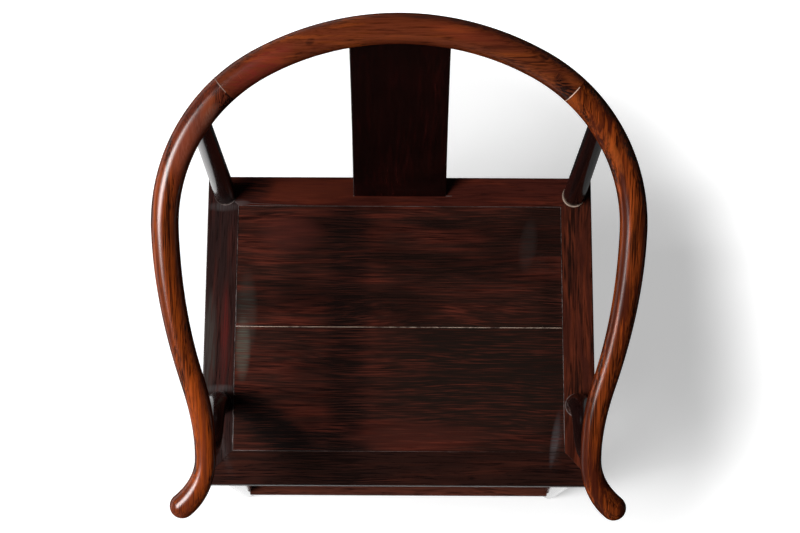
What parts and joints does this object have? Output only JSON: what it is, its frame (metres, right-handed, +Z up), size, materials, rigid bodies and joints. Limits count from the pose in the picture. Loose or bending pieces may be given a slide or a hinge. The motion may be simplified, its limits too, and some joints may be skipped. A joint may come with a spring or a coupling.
{
  "type": "horseshoe back armchair",
  "caption": "Solid wood armchair with a horseshoe crest rail sloping down into curled hand ends, a bowed plain splat, goose-neck arm posts, a framed board seat and a low footrest",
  "frame": {"origin": "On the floor, under the middle of the chair's overall length and width.", "axes": "Z up, the chair's front faces -Y, X across it: +X is the right side as seen from the front. The plane X = 0 is its plane of symmetry."},
  "size_m": [0.6558, 0.6354, 0.9805],
  "materials": {
    "rail_wood": "polished",
    "leg_wood": "polished",
    "frame_wood": "polished",
    "panel_wood": "polished"
  },
  "bodies": {
    "root": {"crest_rail_center": "rail_wood", "crest_rail_left_arm": "rail_wood", "crest_rail_right_arm": "rail_wood", "scarf_pin_left": "rail_wood", "scarf_pin_right": "rail_wood", "back_splat": "panel_wood", "rear_leg_left": "leg_wood", "rear_leg_right": "leg_wood", "front_leg_left": "leg_wood", "front_leg_right": "leg_wood", "arm_post_left": "leg_wood", "arm_post_right": "leg_wood", "seat_rail_front": "frame_wood", "seat_rail_rear": "frame_wood", "seat_rail_left": "frame_wood", "seat_rail_right": "frame_wood", "seat_board_front": "panel_wood", "seat_board_rear": "panel_wood", "seat_batten_left": "frame_wood", "seat_batten_right": "frame_wood", "footrest": "leg_wood", "stretcher_left": "leg_wood", "stretcher_right": "leg_wood", "stretcher_rear": "leg_wood", "apron_front": "frame_wood", "apron_rear": "frame_wood", "apron_left": "frame_wood", "apron_right": "frame_wood"}
  },
  "joints": []
}
